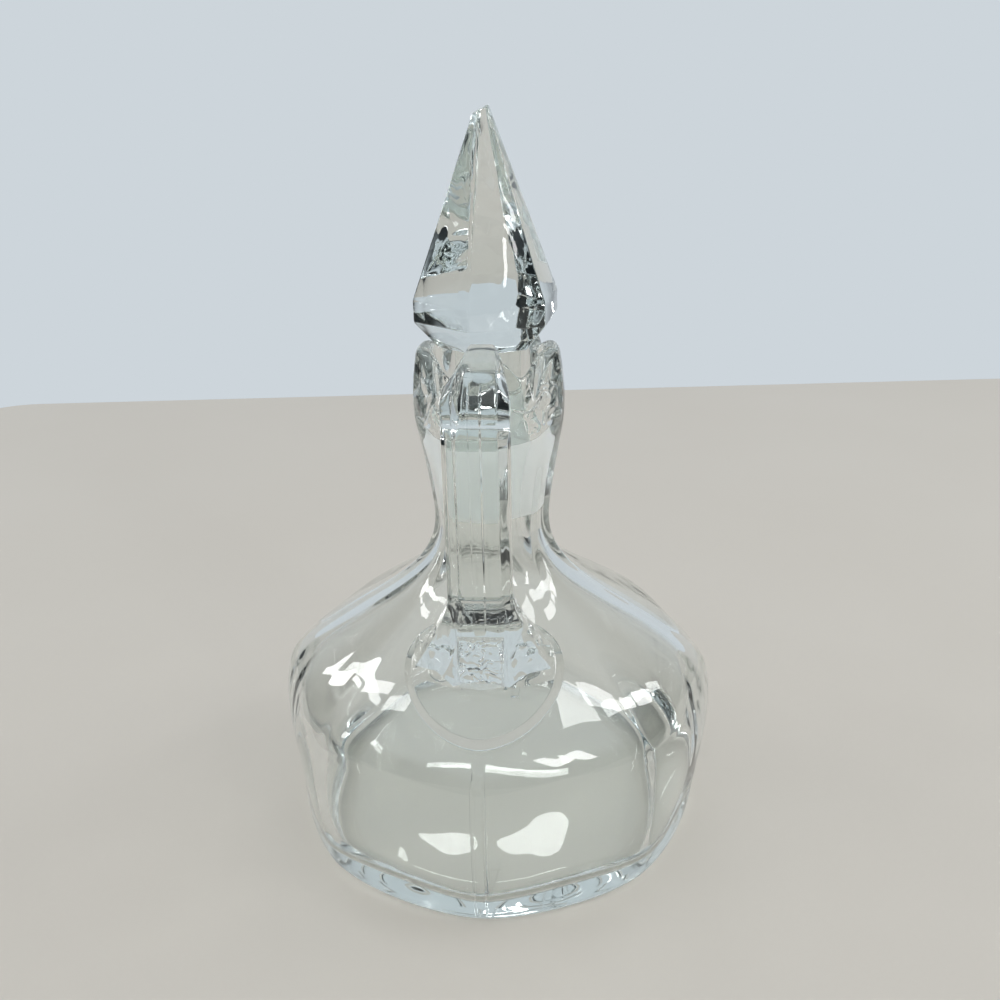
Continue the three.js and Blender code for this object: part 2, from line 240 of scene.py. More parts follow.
# %% Shape by azimuth and height
LIP_GROWTH_HEIGHT = 101.4
SPOUT_LENGTH = 7
SPOUT_LIFT = 0.8
NOTCH_AZIMUTH, NOTCH_HALF_WIDTH = 42, 27
NOTCH_PINCH = 0.9
NOTCH_DROP = 4.6
BAND_AZIMUTH, BAND_HALF_WIDTH = 36, 46
BAND_DROP = 10.5
CHEEK_AZIMUTH, CHEEK_HALF_WIDTH = 126, 24
CHEEK_PINCH = 1.2
CHEEK_DROP = 2.5
LEAF_FOOT_HEIGHT = 103
LEAF_SOFTNESS = 0.25
LEAF_LIFT = 0.03
LEAF_DISTANCE = 29.7
LEAF_AZIMUTH = math.radians(54.7)
LEAF_TILT = math.radians(6.6)
ARRIS_SOFTNESS = 0.035
ARRIS_CROWDING = 0.62
PANEL_FLATNESS = 0.57
FOOT_DIP = 0.016
WALL_DIP = 0.048
NECK_DIP = 0.06
INNER_DIP = 0.0216


def panel_share(azimuth, dip):
    """Share of the radius left at an azimuth: one on an arris, less the dip in the middle of a panel."""
    half = math.pi / PANELS
    across = abs((azimuth % (2 * half)) - half) / half
    away = math.hypot(1 - across, ARRIS_SOFTNESS) - ARRIS_SOFTNESS
    square = (1 - away) ** 2
    return 1 - dip * (1 - square) * (1 - PANEL_FLATNESS * square)


def outer_dip(height):
    """How deep the outside's panels lie at a height."""
    wall = FOOT_DIP + (WALL_DIP - FOOT_DIP) * smooth_step(height, HEEL_FILLET, 0.35 * SHOULDER_HEIGHT)
    neck = wall + (NECK_DIP - wall) * smooth_step(height, SHOULDER_HEIGHT, NECK_HEIGHT)
    return neck * (1 - smooth_step(height, 0.5 * (NECK_HEIGHT + LIP_FOOT_HEIGHT), LIP_FOOT_HEIGHT + 2))


def inner_dip(height):
    """How deep the inside's panels lie at a height. The neck's bore is round."""
    return INNER_DIP * (1 - smooth_step(height, SLOPE_FOOT_HEIGHT, NECK_HEIGHT - 6))


def lip_shift(azimuth, height, outerness):
    """How far the lip departs from a round one, in radius and in height."""
    away = abs(math.degrees(azimuth))
    grow = smooth_step(height, LIP_GROWTH_HEIGHT, RIM_HEIGHT)
    spout = max(0.0, -math.cos(azimuth)) ** 5
    notch = bump_shape((away - NOTCH_AZIMUTH) / NOTCH_HALF_WIDTH)
    band = bump_shape((away - BAND_AZIMUTH) / BAND_HALF_WIDTH)
    cheek = bump_shape((away - CHEEK_AZIMUTH) / CHEEK_HALF_WIDTH)
    out = grow * (SPOUT_LENGTH * grow * spout - NOTCH_PINCH * notch - CHEEK_PINCH * cheek)
    within, without = (1 - outerness) * NOTCH_DROP * notch, outerness * BAND_DROP * band
    return out, grow ** 3 * (SPOUT_LIFT * spout - CHEEK_DROP * cheek - within - without)


def leaf_limit(azimuth, height):
    """Radius of the flat cut that a tool left on the outside of each ear."""
    across = math.cos(abs(azimuth) - LEAF_AZIMUTH)
    return (LEAF_DISTANCE - math.sin(LEAF_TILT) * height) / (math.cos(LEAF_TILT) * max(across, 0.2))


def shaped(point, inside):
    """Where a point of the turned shape goes, in millimetres."""
    radius = math.hypot(point.x, point.y)
    if radius < 0.01:
        return point
    azimuth = math.atan2(point.x, -point.y)
    azimuth -= ARRIS_CROWDING * math.sin(PANELS * azimuth) / PANELS
    outerness = smooth_step(radius, RIM_RADIUS - RIM_THICKNESS, RIM_RADIUS)
    out, up = lip_shift(azimuth, point.z, outerness)
    share = panel_share(azimuth, inner_dip(point.z) if inside else outer_dip(point.z))
    radius = radius * share + out
    height = point.z + up
    if not inside and height > LEAF_FOOT_HEIGHT:
        limit = leaf_limit(azimuth, height)
        gap = math.hypot(limit - radius, LEAF_SOFTNESS)
        radius = (radius + limit - gap) / 2 + LEAF_LIFT
    return Vector((radius * math.sin(azimuth), -radius * math.cos(azimuth), height))


# %% [markdown]
# ## Turning the bottle
# Spin turns the section about the axis into one closed skin. Its first and last points lie on the axis, so merging
# the doubles closes both poles. An integer layer marks the points of the bore and the inner wall before the spin,
# because they follow the panels more faintly than the outside. The vertices are then moved to the panels and the
# lip, and more of them are drawn to the arrises, where the surface turns fastest.

# %% Spin the section and shape it
TURN_STEPS = 240


def turned(section, steps, inner_points=0):
    """A closed skin made by a full spin of a section, in millimetres. Its last points may be marked as the inside."""
    bm = bmesh.new()
    inner = bm.verts.layers.int.new("inner")
    verts = [bm.verts.new((r, 0, z)) for r, z in section]
    for v in verts[len(verts) - inner_points:]:
        v[inner] = 1
    edges = [bm.edges.new(pair) for pair in zip(verts, verts[1:])]
    bmesh.ops.spin(
        bm, geom=verts + edges, cent=(0, 0, 0), axis=(0, 0, 1),
        angle=2 * math.pi, steps=steps, use_merge=True)
    bmesh.ops.remove_doubles(bm, verts=bm.verts, dist=1e-4)
    bmesh.ops.recalc_face_normals(bm, faces=bm.faces)
    return bm


bottle_mesh = turned(section_outside + section_inside, TURN_STEPS, len(section_inside))
inner = bottle_mesh.verts.layers.int["inner"]
print("vertices inside:", sum(v[inner] for v in bottle_mesh.verts), "of", len(bottle_mesh.verts))
for v in bottle_mesh.verts:
    v.co = shaped(v.co, v[inner])
print("bottle:", len(bottle_mesh.verts), "vertices,", round(bottle_mesh.calc_volume() / 1000, 1), "cm3 of glass")

# %% [markdown]
# ## The handle
# The loop was pressed in a flat-sided mould, so it is a side outline given a width, with chamfered edges. Below, it
# flares into a faceted foot, and under the foot the hot glass spread into a round pad on the shoulder. The outline
# is filled and extruded, and bevels give first the chamfers and then the soft fire-polished edges.

# %% The loop
HANDLE_WIDTH = 14.7
HANDLE_CHAMFER = 2.6
HANDLE_THICKNESS = 9.5
HANDLE_REACH = 38
HANDLE_TOP = 129.3
HANDLE_TOP_DROP = 2.2
HANDLE_BEND = 9
HANDLE_ROOT_THICKNESS = 12.6
HANDLE_ROOT_RADIUS = 14.6
SKIRT_HEIGHT = 77
ROOT_NARROWING = 0.57
FULL_WIDTH_REACH = 34.5
EDGE_SOFTNESS = 0.45


def quarter_bend(start, corner, end, steps):
    """Points of a quadratic bend after its start."""
    pull_in = tuple(start[k] + 2 / 3 * (corner[k] - start[k]) for k in (0, 1))
    pull_out = tuple(end[k] + 2 / 3 * (corner[k] - end[k]) for k in (0, 1))
    return curve_points(start, pull_in, pull_out, end, steps)


def slope_height(radius):
    """Height of the shoulder's slope at a distance from the axis."""
    return SLOPE_FOOT_HEIGHT + (SLOPE_FOOT_RADIUS - radius) * math.tan(SHOULDER_SLOPE)


def loop_outline():
    """Side outline of the loop as (distance from the axis, height)."""
    out, inner = HANDLE_REACH, HANDLE_REACH - HANDLE_THICKNESS
    under, bend_top = HANDLE_TOP - HANDLE_ROOT_THICKNESS, HANDLE_TOP - HANDLE_TOP_DROP
    points = [(HANDLE_ROOT_RADIUS, under), (inner - HANDLE_BEND, under)]
    points += quarter_bend(points[-1], (inner, under), (inner, under - 0.7 * HANDLE_BEND), 12)
    points += [(inner, slope_height(inner) - 1.5), (out, slope_height(out) - 1.5), (out, bend_top - HANDLE_BEND)]
    points += quarter_bend(points[-1], (out, bend_top - 0.1 * HANDLE_BEND), (out - HANDLE_BEND, bend_top), 14)
    points += [(HANDLE_ROOT_RADIUS, HANDLE_TOP)]
    return points


def sharp_edges(bm, degrees, among=None):
    """Edges that turn by more than an angle."""
    limit = math.radians(degrees)
    folded = [e for e in bm.edges if len(e.link_faces) == 2 and e.calc_face_angle(0) > limit]
    return [e for e in folded if among is None or among(e)]


def round_edges(bm, edges, size, segments):
    """Bevels edges. One segment leaves a flat chamfer, more of them leave a rounding."""
    bmesh.ops.bevel(bm, geom=edges, offset=size, affect="EDGES", segments=segments, profile=0.5, material=-1)


def make_loop():
    """The side outline with a width, chamfered edges and a narrower root."""
    bm = bmesh.new()
    half = HANDLE_WIDTH / 2
    verts = [bm.verts.new((-half, -r, z)) for r, z in loop_outline()]
    for a, b in zip(verts, verts[1:] + verts[:1]):
        bm.edges.new((a, b))
    side = bmesh.ops.contextual_create(bm, geom=bm.edges[:])["faces"]
    made = bmesh.ops.extrude_face_region(bm, geom=side)["geom"]
    moved = [g for g in made if isinstance(g, bmesh.types.BMVert)]
    bmesh.ops.translate(bm, verts=moved, vec=(HANDLE_WIDTH, 0, 0))
    bmesh.ops.recalc_face_normals(bm, faces=bm.faces)
    rims = [e for e in bm.edges if abs(e.verts[0].co.x - e.verts[1].co.x) < 0.01]
    round_edges(bm, rims, HANDLE_CHAMFER, 1)
    for v in bm.verts:
        if v.co.z > HANDLE_TOP - HANDLE_ROOT_THICKNESS - HANDLE_BEND:
            share = (-v.co.y - HANDLE_ROOT_RADIUS) / (FULL_WIDTH_REACH - HANDLE_ROOT_RADIUS)
            v.co.x *= min(1.0, ROOT_NARROWING + (1 - ROOT_NARROWING) * share)
    round_edges(bm, sharp_edges(bm, 30), EDGE_SOFTNESS, 3)
    bmesh.ops.triangulate(bm, faces=bm.faces)
    return bm


loop_mesh = make_loop()
print("loop:", len(loop_mesh.faces), "faces, volume", round(loop_mesh.calc_volume() / 1000, 2), "cm3")

# %% [markdown]
# ## Foot and pad of the handle
# The pad hugs the shoulder, arris and all, so it is made flat and then laid on: each point is given as a distance
# round the bottle, a distance up the slope and a height over the surface. The foot's seat is placed the same way. A
# hull would give the foot flat sides, but the real one flares late, so it is a spun tube with ten corners, and each
# corner is led from the loop's own section to the seat along its own curve.

# %% Lay things on the shoulder
PAD_RADIUS = 20.5
PAD_CLIMB_RADIUS = 15.9
PAD_DROP = 2.3
PAD_THICKNESS = 2.3
PAD_RIM = 2.6
PAD_DEPTH = 1.5
PAD_CLIMB = 12
SKIRT_TOE = 5.3
SKIRT_HEEL = 13
SKIRT_HALF_TOE = 6.5
SKIRT_HALF_SPAN = 17
SKIRT_RINGS = 12
SKIRT_INSET = 0.3
SKIRT_INNER_INSET = 0.4
SKIRT_SINK = 1.2
SKIRT_SOFTNESS = 0.3

pad_centre_radius = SLOPE_FOOT_RADIUS - PAD_CLIMB * SLOPE_RUN
pad_centre_height = SLOPE_FOOT_HEIGHT + PAD_CLIMB * SLOPE_RISE


def on_pad(across, up, out):
    """A point given from the pad's middle: across, up the slope, and out from the bottle's surface."""
    level = pad_centre_height + up * SLOPE_RISE
    on_arris = pad_centre_radius - up * SLOPE_RUN
    azimuth = across / on_arris
    radius = on_arris * panel_share(azimuth, outer_dip(level)) + out * SLOPE_RISE
    return Vector((radius * math.sin(azimuth), -radius * math.cos(azimuth), level + out * SLOPE_RUN))


def skirt_corners():
    """Half of the foot's corners: a place on the loop above, one on the pad below, and how late the corner flares."""
    half, chamfer = HANDLE_WIDTH / 2 - SKIRT_INSET, HANDLE_CHAMFER
    inner, outer = HANDLE_REACH - HANDLE_THICKNESS + SKIRT_INNER_INSET, HANDLE_REACH - SKIRT_INSET
    return [
        ((half - chamfer, outer), (SKIRT_HALF_TOE, -SKIRT_TOE), 2.4),
        ((half - 0.5 * chamfer, outer - 0.5 * chamfer), (0.66 * SKIRT_HALF_SPAN, -0.5 * SKIRT_TOE), 1.7),
        ((half, outer - chamfer), (SKIRT_HALF_SPAN, -0.5 * SKIRT_TOE), 1.35),
        ((half, inner + chamfer), (0.8 * SKIRT_HALF_SPAN, 0.6 * SKIRT_HEEL), 1.35),
        ((half - chamfer, inner), (SKIRT_HALF_TOE, SKIRT_HEEL), 1.35),
    ]


def skirt_point(side, corner, share):
    """A corner's place between the loop and the seat. Past one, it sinks into the bottle's wall."""
    (x, reach), (across, up), lateness = corner
    above = Vector((side * x, -reach, SKIRT_HEIGHT))
    seat = on_pad(side * across, up, PAD_THICKNESS - SKIRT_INSET)
    if share > 1:
        return on_pad(side * 0.9 * across, 0.9 * up, -SKIRT_SINK)
    flare = share ** lateness
    x, y = above.x + (seat.x - above.x) * flare, above.y + (seat.y - above.y) * flare
    return Vector((x, y, above.z + (seat.z - above.z) * share))


def make_skirt():
    """A tube with one step per corner, whose vertices are then moved to the foot's own shape."""
    corners = skirt_corners()
    ring = [(1, c) for c in corners] + [(-1, c) for c in reversed(corners)]
    shares = [i / SKIRT_RINGS for i in range(SKIRT_RINGS + 1)] + [1.1]
    bm = turned([(10, level) for level in range(len(shares))], len(ring))
    for v in bm.verts:
        corner = round(math.atan2(v.co.y, v.co.x) / (2 * math.pi / len(ring))) % len(ring)
        v.co = skirt_point(*ring[corner], shares[round(v.co.z)])
    bmesh.ops.holes_fill(bm, edges=bm.edges, sides=len(ring))
    bmesh.ops.recalc_face_normals(bm, faces=bm.faces)
    creases = sharp_edges(bm, 14, lambda e: abs(e.verts[0].co.z - e.verts[1].co.z) > 0.6)
    round_edges(bm, creases, SKIRT_SOFTNESS, 2)
    bmesh.ops.triangulate(bm, faces=bm.faces)
    return bm


def make_pad():
    """A flat drop of glass with a sloping rim, and a body below that sinks into the shoulder."""
    flat, rim = PAD_RADIUS - PAD_RIM, (PAD_RADIUS - 0.35, 0.75)
    section = [(0, PAD_THICKNESS)] + line_points((0, PAD_THICKNESS), (flat - 0.5, PAD_THICKNESS), 12)
    turn = (flat, PAD_THICKNESS)
    section += curve_points(section[-1], turn, turn, (flat + 0.45, PAD_THICKNESS - 0.3), 5)
    section += line_points(section[-1], rim, 5)
    section += curve_points(rim, (PAD_RADIUS + 0.05, 0.5), (PAD_RADIUS, 0.2), (PAD_RADIUS - 0.3, -0.3), 6)
    section += line_points(section[-1], (PAD_RADIUS - PAD_DEPTH, -PAD_DEPTH), 2)
    section += line_points(section[-1], (0, -PAD_DEPTH), 10)
    bm = turned(section, 160)
    for v in bm.verts:
        v.co = on_pad(v.co.x, v.co.y * PAD_CLIMB_RADIUS / PAD_RADIUS - PAD_DROP, v.co.z)
    bmesh.ops.recalc_face_normals(bm, faces=bm.faces)
    return bm


skirt_mesh = make_skirt()
pad_mesh = make_pad()
print("skirt:", len(skirt_mesh.faces), "faces; pad:", len(pad_mesh.faces), "faces")

# %% [markdown]
# ## Fusing the glass
# Hot glass joins without a seam. Two closed shapes that only overlap would show each other's hidden walls through
# the glass, so a union makes bottle, pad, foot and loop one skin, just as the real ones are one piece of glass.

# %% Join the skins
SHADING_ANGLE = 28


def stand(name, data):
    """Puts a mesh, a lamp or a camera into the scene as an object."""
    holder = bpy.data.objects.new(name, data)
    bpy.context.scene.collection.objects.link(holder)
    return holder


def to_object(bm, name):
    """Puts a mesh made in millimetres into the scene in metres."""
    bmesh.ops.scale(bm, vec=(MM, MM, MM), verts=bm.verts)
    mesh = bpy.data.meshes.new(name)
    bm.to_mesh(mesh)
    bm.free()
    return stand(name, mesh)


def fuse(piece, others):
    """Unites a piece with others and removes them."""
    for other in others:
        join = piece.modifiers.new("fuse", "BOOLEAN")
        join.operation, join.solver, join.object = "UNION", "MANIFOLD", other
        before = (len(piece.data.polygons), len(other.data.polygons))
        graph = bpy.context.evaluated_depsgraph_get()
        made = bpy.data.meshes.new_from_object(piece.evaluated_get(graph))
        print("fuse", other.name, "into", piece.name + ":", *before, "->", len(made.polygons), "faces")
        piece.modifiers.clear()
        piece.data = made
        bpy.data.objects.remove(other)


def soften(piece):
    """Smooth shading, with the edges kept sharp that turn more than an angle."""
    piece.data.shade_smooth()
    piece.data.set_sharp_from_angle(angle=math.radians(SHADING_ANGLE))


bottle = to_object(bottle_mesh, "fused_bottle")
fuse(bottle, [to_object(pad_mesh, "pad"), to_object(skirt_mesh, "skirt"), to_object(loop_mesh, "loop")])
soften(bottle)
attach(bottle, "bottle")
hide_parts("bottle_body", "handle")
print("fused bottle:", len(bottle.data.polygons), "faces")

# %% [markdown]
# ## The stopper
# A six-sided pyramid on a narrow girdle, drawn in below to a round stem with the ground plug under it. It starts as
# a six-sided circle that is extruded and scaled ring by ring, and its tip is cut off at a slant, as the real one's
# is chipped or ground. The stem and plug are a spun section.

# %% Make the stopper
STOPPER_TURN = math.radians(-7.5)
STEM_RADIUS = 7.8
PLUG_ROUNDING = 0.8
FINIAL_FOOT_HEIGHT = 125.8
FINIAL_FOOT_RADIUS = 12
GIRDLE_HEIGHT = 132.2
GIRDLE_BAND = 5
GIRDLE_RADIUS = 17.6
PYRAMID_HEIGHT = 44.8
TIP_CUT_HEIGHT = 177.3
TIP_CUT_SLOPE = math.radians(27)
FACET_SOFTNESS = 0.4


def make_finial():
    """The six-sided part, from its underside to the slanted tip."""
    crown_foot = GIRDLE_HEIGHT + GIRDLE_BAND
    section = [
        (0, FINIAL_FOOT_HEIGHT), (FINIAL_FOOT_RADIUS, FINIAL_FOOT_HEIGHT),
        (GIRDLE_RADIUS, GIRDLE_HEIGHT), (GIRDLE_RADIUS, crown_foot),
        (0, crown_foot + PYRAMID_HEIGHT)]
    bm = turned(section, 6)
    turn = Matrix.Rotation(STOPPER_TURN + math.pi / 2, 3, "Z")
    bmesh.ops.rotate(bm, verts=bm.verts, cent=(0, 0, 0), matrix=turn)
    slant = Vector((-math.sin(TIP_CUT_SLOPE), 0, math.cos(TIP_CUT_SLOPE)))
    cut = bmesh.ops.bisect_plane(
        bm, geom=bm.verts[:] + bm.edges[:] + bm.faces[:],
        plane_co=(0, 0, TIP_CUT_HEIGHT), plane_no=slant, clear_outer=True)
    bmesh.ops.contextual_create(bm, geom=[e for e in cut["geom_cut"] if isinstance(e, bmesh.types.BMEdge)])
    bmesh.ops.dissolve_limit(bm, angle_limit=math.radians(1), verts=bm.verts, edges=bm.edges)
    bmesh.ops.recalc_face_normals(bm, faces=bm.faces)
    round_edges(bm, sharp_edges(bm, 8), FACET_SOFTNESS, 3)
    bmesh.ops.triangulate(bm, faces=bm.faces)
    return bm


def make_shank():
    """The ground plug and the stem, which ends inside the finial."""
    top = PLUG_BOTTOM_HEIGHT + PLUG_LENGTH
    flat = PLUG_BOTTOM_RADIUS - PLUG_ROUNDING
    section = [(0, PLUG_BOTTOM_HEIGHT), (0.6 * PLUG_BOTTOM_RADIUS, PLUG_BOTTOM_HEIGHT), (flat, PLUG_BOTTOM_HEIGHT)]
    section += arc_points((flat, PLUG_BOTTOM_HEIGHT + PLUG_ROUNDING), PLUG_ROUNDING, -90, 0, 6)
    section += line_points(section[-1], (PLUG_TOP_RADIUS, top), 16)
    section += curve_points(
        section[-1], (PLUG_TOP_RADIUS, top + 1.6), (STEM_RADIUS, top + 1.4), (STEM_RADIUS, top + 3.4), 10)
    section += line_points(section[-1], (STEM_RADIUS, FINIAL_FOOT_HEIGHT + 1), 8)
    section += [(0, FINIAL_FOOT_HEIGHT + 1)]
    return turned(section, 96)


stopper = to_object(make_finial(), "pointed_stopper")
fuse(stopper, [to_object(make_shank(), "shank")])
soften(stopper)
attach(stopper, "stopper")
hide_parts("stopper")
print("stopper:", len(stopper.data.polygons), "faces")

# %% [markdown]
# ## Glass
# Soda-lime glass bends light by an index of 1.52. It is almost colourless, with a trace of iron green that only
# shows where the light's path is long. Its surface is fire-polished, so it is mirror smooth, but it is never quite
# flat: slow waves from the mould bend the reflections. The ground joint is rough and white. One small function adds
# a node and joins it, so that each material below reads as a short list of what it is made of.

# %% Node helper and colours
def linear(hex_colour):
    """An sRGB hex colour as linear red, green, blue and one."""
    parts = [int(hex_colour[i:i + 2], 16) / 255 for i in (1, 3, 5)]
    return tuple(p / 12.92 if p <= 0.04045 else ((p + 0.055) / 1.055) ** 2.4 for p in parts) + (1.0,)


def add(tree, kind, settings=None, **links):
    """Adds a node. A link's value is a socket to join or a plain value to set."""
    node = tree.nodes.new(kind)
    for name, value in (settings or {}).items():
        setattr(node, name, value)
    for name, value in links.items():
        key = int(name[1:]) if name[0] == "i" and name[1:].isdigit() else name.replace("_", " ")
        socket = node.inputs[key]
        if isinstance(value, bpy.types.NodeSocket):
            tree.links.new(value, socket)
        else:
            socket.default_value = value
    return node


# %% [markdown]
# Masks say where on the piece something happens. They are products of soft limits, and every limit is written in
# millimetres of the object's own coordinates. Sums, mixes and slopes of nodes get a short name each.

# %% Small sums of nodes
def both(tree, first, second):
    """The product, which is one only where both masks are."""
    return add(tree, "ShaderNodeMath", {"operation": "MULTIPLY"}, i0=first, i1=second).outputs["Value"]


def total(tree, first, second):
    return add(tree, "ShaderNodeMath", {"operation": "ADD"}, i0=first, i1=second).outputs["Value"]


def mixed(tree, share, first, second):
    """A colour between two."""
    return add(tree, "ShaderNodeMix", {"data_type": "RGBA"}, i0=share, i6=first, i7=second).outputs[2]


def eased(tree, value, start, end):
    """Zero at the start, one at the end, and an easy slope between."""
    ramp = {"interpolation_type": "SMOOTHSTEP"}
    return add(tree, "ShaderNodeMapRange", ramp, Value=value, From_Min=start, From_Max=end).outputs["Result"]


def between(tree, value, low, high, soft):
    """One where a value lies between two limits, in millimetres, and zero outside."""
    up = add(tree, "ShaderNodeMapRange", Value=value, From_Min=(low - soft) * MM, From_Max=low * MM)
    down = add(tree, "ShaderNodeMapRange", Value=value, From_Min=(high + soft) * MM, From_Max=high * MM)
    return both(tree, up.outputs["Result"], down.outputs["Result"])


# %% [markdown]
# Four kinds of relief are too fine to model and are given as heights in millimetres: the slow waves of a blown wall,
# the crumpled skin of glass that froze against a cold tool, the folds that ran down the foot while it was soft, and
# the seam where the mould's two halves met in the handle's plane. They are added up and one bump turns them into a
# bent normal, so that they also bend what is seen through them.

# %% Fine relief
def mould_waves(tree, place, wave_mm, height_mm):
    """Slow swells, about as wide as the wave given."""
    wave = add(tree, "ShaderNodeTexNoise", Vector=place, Scale=1 / (wave_mm * MM), Detail=1.0, Roughness=0.4)
    return both(tree, wave.outputs["Fac"], height_mm)


def chill_marks(tree, place, scale):
    """Crumples of height one: noise folded at its middle, which gives round hills between sharp valleys."""
    grain = add(tree, "ShaderNodeTexNoise", Vector=place, Scale=scale, Detail=1.0, Roughness=0.5, Distortion=0.6)
    fold = add(tree, "ShaderNodeMapRange", Value=grain.outputs["Fac"], From_Min=0.25, From_Max=0.75, To_Min=-1.0)
    return add(tree, "ShaderNodeMath", {"operation": "ABSOLUTE"}, i0=fold.outputs["Result"]).outputs["Value"]


def drawn_out(tree, place, share):
    """Coordinates that make a noise longer in height than it is across."""
    return add(tree, "ShaderNodeVectorMath", {"operation": "MULTIPLY"}, i0=place, i1=(1, 1, share)).outputs["Vector"]


def mould_seam(tree, parts, aside, reach):
    """A flat ridge of height one in the handle's plane, on the bottle's wall and on the loop's outer face."""
    ridge = both(tree, eased(tree, aside, 1.6 * MM, 0.95 * MM), between(tree, reach, 34, 80, 1))
    on_wall, on_loop = between(tree, parts["Z"], 3, 40, 2), between(tree, parts["Z"], 70, 124, 1.5)
    return both(tree, ridge, total(tree, on_wall, on_loop))


def bent_normal(tree, *heights_mm):
    """The normal of the surface with all the heights laid on it."""
    height = heights_mm[0]
    for more in heights_mm[1:]:
        height = total(tree, height, more)
    return add(tree, "ShaderNodeBump", Strength=1.0, Distance=MM, Height=height).outputs["Normal"]


# %% [markdown]
# One shader serves both pieces. Transmission and roughness follow the ground mask, and absorption in the volume gives
# the faint green depth, which no surface colour could: it grows with the path through the glass.

# %% Glass shader
GLASS_INDEX = 1.52
GREEN_DENSITY = 5.0
GROUND_ROUGHNESS = 0.45
GROUND_CLEARNESS = 0.5


def finish_glass(tree, tint, normal, ground):
    """Clear glass that turns to a white ground surface where the mask is one."""
    rough = add(tree, "ShaderNodeMapRange", Value=ground, To_Min=0.0, To_Max=GROUND_ROUGHNESS)
    clear = add(tree, "ShaderNodeMapRange", Value=ground, To_Min=1.0, To_Max=GROUND_CLEARNESS)
    surface = add(
        tree, "ShaderNodeBsdfPrincipled", Base_Color=linear(tint), Roughness=rough.outputs["Result"],
        IOR=GLASS_INDEX, Transmission_Weight=clear.outputs["Result"], Normal=normal)
    depth = add(tree, "ShaderNodeVolumeAbsorption", Color=linear("#c9d8d5"), Density=GREEN_DENSITY)
    add(tree, "ShaderNodeOutputMaterial", Surface=surface.outputs["BSDF"], Volume=depth.outputs["Volume"])


def new_tree(name):
    material = bpy.data.materials.new(name)
    material.use_nodes = True
    material.node_tree.nodes.clear()
    return material, material.node_tree


def position(tree):
    """Object coordinates, their parts, and the distance from the axis."""
    place = add(tree, "ShaderNodeTexCoord").outputs["Object"]
    parts = add(tree, "ShaderNodeSeparateXYZ", Vector=place)
    flat = add(tree, "ShaderNodeVectorMath", {"operation": "MULTIPLY"}, i0=place, i1=(1, 1, 0))
    reach = add(tree, "ShaderNodeVectorMath", {"operation": "LENGTH"}, i0=flat.outputs["Vector"])
    return place, parts.outputs, reach.outputs["Value"]


# %% [markdown]
# The bottle's glass has the most to show: crumpled leaves where a tool flattened the ears, a crumpled patch on the
# front of the foot, folds on the foot's wings, the mould's seam, and the bore that was ground for the plug. Each has
# a mask made from the object's own coordinates, so that it stays on its place whatever the view: a side is measured
# from the handle's plane, a front is a Y, and a reach is a distance from the axis. The slow waves fade out toward the
# floor plate: light runs along a thin plate in many bounces, and each would bend it further.

# %% Glass of the bottle
LEAF_SIDE, LEAF_HEIGHTS = (8.8, 30), (109.5, 118)
PATCH_SIDE, PATCH_FRONT, PATCH_HEIGHTS = (-1, 4.8), (-50, -37.6), (57, 67.5)
WING_SIDE, WING_FRONT, WING_HEIGHTS = (5.4, 15), (-50, -24), (57.8, 76)
BORE_REACH, BORE_HEIGHTS = (-1, 10.4), (PLUG_BOTTOM_HEIGHT - 0.4, PLUG_BOTTOM_HEIGHT + PLUG_LENGTH + 0.2)
LEAF_CRUMPLES, PATCH_CRUMPLES, WING_FOLDS, SEAM_RIDGE, WAVE_HEIGHT = 0.8, 0.6, 0.9, 0.3, 0.28
LEAF_GRAIN, PATCH_GRAIN, FOLD_GRAIN, WAVE_LENGTH = 5.5, 2.8, 7, 22


